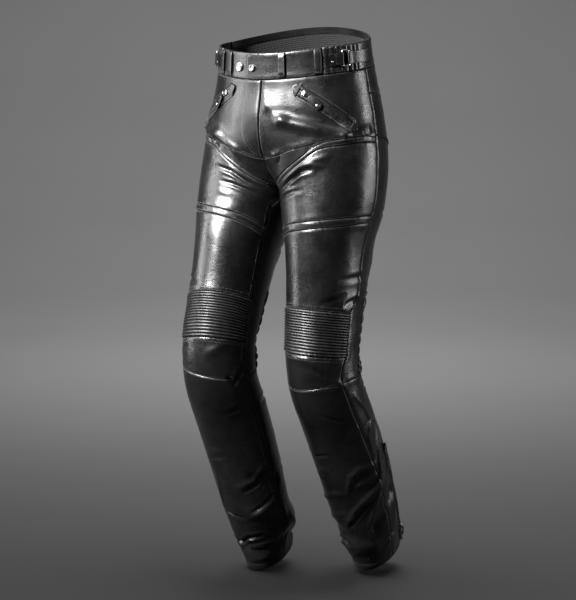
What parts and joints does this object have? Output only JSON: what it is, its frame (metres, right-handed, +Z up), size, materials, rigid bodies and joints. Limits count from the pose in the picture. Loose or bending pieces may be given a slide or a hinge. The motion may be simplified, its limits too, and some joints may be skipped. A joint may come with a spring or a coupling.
{
  "type": "motorcycle trousers",
  "caption": "Black leather motorcycle trousers, worn and hollow, with ribbed knee panels, zipped hand pockets and calf zips.",
  "frame": {"origin": "middle of the waist, at the height of the waistband's seam at the sides", "axes": "+Z up, -Y the way the wearer faces, +X the wearer's left"},
  "size_m": [0.3569, 0.3769, 0.9937],
  "materials": {
    "leather": "semi-gloss black grained cowhide",
    "stretch_leather": "semi-gloss black leather, ribbed",
    "mesh": "open diamond mesh lining",
    "zip_cloth": "woven zip tape with its teeth",
    "dark_metal": "gunmetal plated"
  },
  "bodies": {
    "trousers": {"waistband_front_left": "leather", "waistband_front_right": "leather", "waistband_shirred_left": "leather", "waistband_shirred_right": "leather", "waistband_back": "leather", "fly_placket": "leather", "belt_loop_front_left": "leather", "belt_loop_front_right": "leather", "belt_loop_side_left": "leather", "belt_loop_side_right": "leather", "belt_loop_back": "leather", "adjuster_anchor_left": "leather", "adjuster_anchor_right": "leather", "adjuster_strap_left": "leather", "adjuster_strap_right": "leather", "hip_front_left": "leather", "hip_front_right": "leather", "hip_band_left": "leather", "hip_band_right": "leather", "crotch_insert_left": "leather", "crotch_insert_right": "leather", "upper_thigh_left": "leather", "upper_thigh_right": "leather", "thigh_band_left": "leather", "thigh_band_right": "leather", "lower_thigh_left": "leather", "lower_thigh_right": "leather", "kneecap_left": "leather", "kneecap_right": "leather", "shin_left": "leather", "shin_right": "leather", "back_yoke_left": "leather", "back_yoke_right": "leather", "seat_back_left": "leather", "seat_back_right": "leather", "calf_outer_left": "leather", "calf_outer_right": "leather", "calf_left": "leather", "calf_right": "leather", "knee_accordion_left": "stretch_leather", "knee_accordion_right": "stretch_leather", "back_knee_stretch_left": "stretch_leather", "back_knee_stretch_right": "stretch_leather", "waist_mesh_lining": "mesh", "pocket_zip_left": "zip_cloth", "pocket_zip_right": "zip_cloth", "calf_zip_left": "zip_cloth", "calf_zip_right": "zip_cloth", "adjuster_ring_left": "dark_metal", "adjuster_ring_right": "dark_metal", "pocket_slider_left": "dark_metal", "pocket_slider_right": "dark_metal", "calf_slider_left": "dark_metal", "calf_slider_right": "dark_metal", "waist_snap_tab": "dark_metal", "waist_snap_front": "dark_metal"},
    "pocket_pull_left": {"pocket_pull_left": "leather"},
    "pocket_pull_right": {"pocket_pull_right": "leather"},
    "calf_pull_left": {"calf_pull_left": "leather"},
    "calf_pull_right": {"calf_pull_right": "leather"}
  },
  "joints": [
    {"name": "pocket_pull_left_hinge", "type": "hinge", "parent": "trousers", "child": "pocket_pull_left", "pos_m": [0.08636, -0.09174, -0.04046], "axis": [-0.4308, -0.3036, -0.8498], "range_deg": [0, 150]},
    {"name": "pocket_pull_right_hinge", "type": "hinge", "parent": "trousers", "child": "pocket_pull_right", "pos_m": [-0.08636, -0.09174, -0.04045], "axis": [-0.4307, 0.304, 0.8498], "range_deg": [0, 150]},
    {"name": "calf_pull_left_hinge", "type": "hinge", "parent": "trousers", "child": "calf_pull_left", "pos_m": [0.1301, 0.16552, -0.83537], "axis": [0.5065, -0.6962, -0.5086], "range_deg": [0, 150]},
    {"name": "calf_pull_right_hinge", "type": "hinge", "parent": "trousers", "child": "calf_pull_right", "pos_m": [-0.14757, 0.06366, -0.84725], "axis": [0.3737, 0.7835, 0.4965], "range_deg": [0, 150]}
  ]
}
